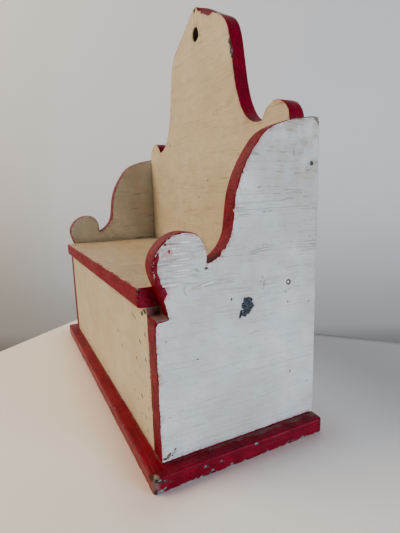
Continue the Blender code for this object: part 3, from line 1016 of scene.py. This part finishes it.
def finish_base():
    board = Board("base_board", "Z", 2.0, 1.7, step=0.9, depth_step=0.75, marks=base_marks())
    p = board.position
    x, y, z = p.T
    covered = np.minimum(OUTER - np.abs(x), y - FRONT)
    inside_box = np.minimum(INNER - 1 - np.abs(x), np.minimum(y - FRONT - 17, BACK_FACE - 1 - y))
    top = z > BASE_TOP - 1
    reach = np.where(y < FRONT, 1.4, 3.0 + 2.4 * smooth_step(y, -60, 60))
    strip = reach + 1.6 * value_noise(p, 8, 46) + 0.9 * value_noise(p, 3, 48)
    corner = 3.6 - 0.6 * np.hypot(x - BASE_SIDE, y - BASE_FRONT)
    strip = np.minimum(strip + np.minimum(covered, 0), 1.3)
    layers = {
        "red": np.full(len(p), 6.0),
        "bare": most(8 * (0.3 - z), behind(p, REAR - 0.6), np.where(top, inside_box, -9)),
        "grime_and_shade": most(np.where(top, strip, CLEAR), corner),
    }
    board.finish(
        "base", "base_paint", "Z", 0, 97, layers, dents=0.6, cracks=0.4, wear=0.9, relief=0.1
    )


def finish_lid():
    top, end = on_face("Z", LID_TOP), on_face("X", LID_END)
    marks = [
        top("chip", LID_END - 1.4, LID_FRONT + 1, 1.5, 1.1),
        top("dark", 25, LID_FRONT + 0.5, 1.8, 1.1, 0.5),
        top("dark", 56.6, LID_FRONT + 0.5, 2, 1.2, 0.5),
        top("chip", -70, LID_FRONT + 0.5, 2.6, 1),
        top("dark", 110, LID_FRONT + 1, 1.4, 1, 0.4),
        end("chip", LID_FRONT + 0.5, LID_TOP - 4.2, 0.6, 1, 0.3),
        end("chip", LID_FRONT + 0.4, LID_TOP - 9, 0.6, 0.9, 0.3),
        end("chip", LID_FRONT + 2.8, LID_TOP - 0.8, 0.9, 0.5, 0.3),
    ]
    board = Board("lid", "X", 1.0, 1.0, step=1.4, depth_step=1.7, marks=marks)
    p = board.position
    x, y, z = p.T
    from_front, from_end = y - LID_FRONT, LID_END - np.abs(x)
    from_edge = np.minimum(from_front, from_end)
    lap = 1.1 + 0.5 * value_noise(p, 9, 43) + 0.35 * value_noise(p, 3, 44)
    board.rim = np.minimum(from_edge, np.abs(z - LID_TOP) + np.maximum(from_edge, 0))
    under = np.where(from_front > 12, 5 * (LID_BOTTOM + 0.5 - z), -9)
    layers = {
        "red": lap - from_edge,
        "bare": under,
        "grime_and_shade": np.where(y > PIN_Y, y - PIN_Y - 8, CLEAR),
        "dirt_and_shade": np.full(len(p), 0.36),
    }
    board.finish(
        "hinged_lid", "lid_paint", "Z", 0, 113, layers, body=BODY_LID, dents=0.3, cream=LID_CREAM,
        deep=LID_DEEP, cracks=0.6, wear=0.7
    )


finish_cheek(1, "right_side", "right_cheek", right_cheek_marks(), 23)
finish_cheek(-1, "left_side", "left_cheek", left_cheek_marks(), 37)
finish_back()
finish_front()
finish_base()
finish_lid()

iron = iron_material("rusty_iron", 5)
painted_pin = pin_material("painted_pin", 15)
for name, node in frame["nodes"].items():
    if "nail" in name or "pin" in name:
        for place in node.material_slots:
            place.material = painted_pin if "pin" in name else iron


# Floor, walls, light and camera

BLACK = (0, 0, 0)
UNBOUNDED = 9e3


def stage_material(name, colour, rough, far, foot, seam, reflection_footprint=None):
    """Pale paint with the painted light and shade of the photo's room, as a node tree and its shader.

    far is the band in which a painted shadow darkens it towards the rear, and how bright it stays
    there.
    foot is how bright it stays lower down, a painted shade. seam is a direction, the distances along it
    between which a painted shade fades, and that shade's depth. reflection_footprint is half the size
    of a footprint with a painted red reflection and shadow around it.
    """
    t = Nodes(name)
    soft = t.noise(t.place, 260, 2, 0.5, 3)
    shade = t.over(colour, (soft, 0.25, shaded(colour, 0.82)))
    # Painted shade: darker lower down
    shade = t.mix(t.band(t.axis(t.place, "Z"), -190, 260, 1, 0), shade, shaded(colour, foot))
    # Painted shadow: darker towards the rear
    *far_band, darkest = far
    shade = t.over(shade, (t.band(t.axis(t.place, "Y"), *far_band), 1 - darkest, BLACK))
    way, start, end, depth = seam
    along = t.vector("DOT_PRODUCT", t.place, way, "Value")
    # Painted shade along a seam
    shade = t.mix(t.band(along, start, end, depth, 0.0), shade, BLACK)
    if reflection_footprint:
        outside = t.vector("SUBTRACT", t.vector("ABSOLUTE", t.place), reflection_footprint)
        away = t.vector("LENGTH", t.vector("MAXIMUM", outside), output="Value")
        # Painted red reflection and shadow round the footprint
        shade = t.mix(t.band(away, -12, 42, 0.5, 0.0), shade, PAINTED_RED_REFLECTION)
    grit = t.noise(t.place, 1.8, 3, 0.6, 8)
    return t, t.surface(shade, rough, grit, 0.35, 0.2 * MM)


def staged_plane(name, start, first, second, material):
    """A plane from one corner, along its two edges."""
    corners = start, start + first, start + first + second, start + second
    mesh = bpy.data.meshes.new(name)
    mesh.from_pydata([corner * MM for corner in corners], [], [(0, 1, 2, 3)])
    mesh.materials.append(material)
    linked(name, mesh)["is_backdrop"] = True


# The floor ends in a corner behind the object, as the photo's table does, with a wall further back
FLOOR_CORNER = Vector((-303.5, -15.3, 0))
BACK_WAY, LEFT_WAY = Vector((0.754, 0.657, 0)), Vector((0.616, -0.788, 0))
FLOOR_LENGTH = 2500
FROM_BACK = Vector((BACK_WAY.y, -BACK_WAY.x, 0))
BACK_SEAM = FLOOR_CORNER.dot(FROM_BACK)
WALL_WAY, WALL_LENGTH = Vector((0.447, 0.894, 0)), 3000
WALL_FOOT, WALL_RISE = -500, Vector((0, 0, 2000))
WALL_START = FLOOR_CORNER + Vector((-420, 210, WALL_FOOT)) - WALL_WAY * WALL_LENGTH / 2
WALL_SEAM_SHADE = ((0, 0, 1), -268, -198, 0.36)

# The floor is painted darker towards the rear and along its back edge as shadow, with a painted red
# reflection and shadow round the base
t, paint = stage_material(
    "floor_paint", (0.97, 0.93, 0.87), 0.42, (95, 240, 0.60), 0.93,
    (FROM_BACK, BACK_SEAM, BACK_SEAM + 16, 0.62), (BASE_SIDE, -BASE_FRONT, UNBOUNDED)
)
staged_plane("floor", FLOOR_CORNER, LEFT_WAY * FLOOR_LENGTH, BACK_WAY * FLOOR_LENGTH, t.output(paint))
# The wall's painted shade: darker lower down, towards the rear and just above the floor
t, paint = stage_material("wall_paint", (1.0, 0.98, 0.935), 0.62, (250, 850, 0.9), 0.66, WALL_SEAM_SHADE)
# From behind, the wall is clear, so that it never hides the box
from_behind = t.node("NewGeometry", output="Backfacing")
paint = t.node("MixShader", {0: from_behind, 1: paint, 2: t.node("BsdfTransparent")})
staged_plane("wall", WALL_START, WALL_WAY * WALL_LENGTH, WALL_RISE, t.output(paint))


def area_light(name, place_m, aim_m, size_m, power, colour):
    data = bpy.data.lights.new(name, "AREA")
    data.shape, data.size, data.energy, data.color = "DISK", size_m, power, colour
    item = linked(name, data)
    item.location = place_m
    item.rotation_mode = "QUATERNION"
    item.rotation_quaternion = (Vector(aim_m) - Vector(place_m)).to_track_quat("-Z", "Y")


MIDDLE_M = (0, 0, 0.16)
area_light("window", (1.45, 0.62, 0.36), MIDDLE_M, 0.8, 25.5, (0.62, 0.76, 1.0))
area_light("room", (-0.8, -1.65, 1.6), MIDDLE_M, 1.6, 62, (1.0, 0.80, 0.57))

# The room's even light is dimmer on the object than where the camera sees it past the wall
ROOM_COLOUR, FILL_STRENGTH, SEEN_STRENGTH = (0.86, 0.84, 0.80, 1), 0.2, 0.62
world = bpy.data.worlds.new("soft_room")
world.use_nodes = True
nodes, links = world.node_tree.nodes, world.node_tree.links
fill, seen = nodes["Background"], nodes.new("ShaderNodeBackground")
rays, either = nodes.new("ShaderNodeLightPath"), nodes.new("ShaderNodeMixShader")
links.new(rays.outputs["Is Camera Ray"], either.inputs[0])
for socket, background, strength in ((1, fill, FILL_STRENGTH), (2, seen, SEEN_STRENGTH)):
    background.inputs["Color"].default_value = ROOM_COLOUR
    background.inputs["Strength"].default_value = strength
    links.new(background.outputs[0], either.inputs[socket])
links.new(either.outputs[0], nodes["World Output"].inputs["Surface"])
scene.world = world

# The camera fitted to the photo
CAMERA_PLACE_M = Vector((0.4422062, -0.1578065, 0.2168776))
CAMERA_RIGHT = Vector((0.45096317, 0.89205362, -0.02953905))
CAMERA_FORWARD = Vector((-0.88028285, 0.43905869, -0.17980426))

lens = bpy.data.cameras.new("photo_camera")
lens.sensor_fit, lens.sensor_width, lens.lens = "AUTO", 36, 25.956
lens.clip_start = 0.01
camera = linked("photo_camera", lens)
camera_up = CAMERA_RIGHT.cross(CAMERA_FORWARD)
turn = Matrix((CAMERA_RIGHT, camera_up, -CAMERA_FORWARD)).transposed()
camera.matrix_world = Matrix.Translation(CAMERA_PLACE_M) @ turn.to_4x4()
scene.camera = camera

boxes = {"cad": cad_bounds, "visual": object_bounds()}
{key: [list(corner) for corner in box] for key, box in boxes.items()}
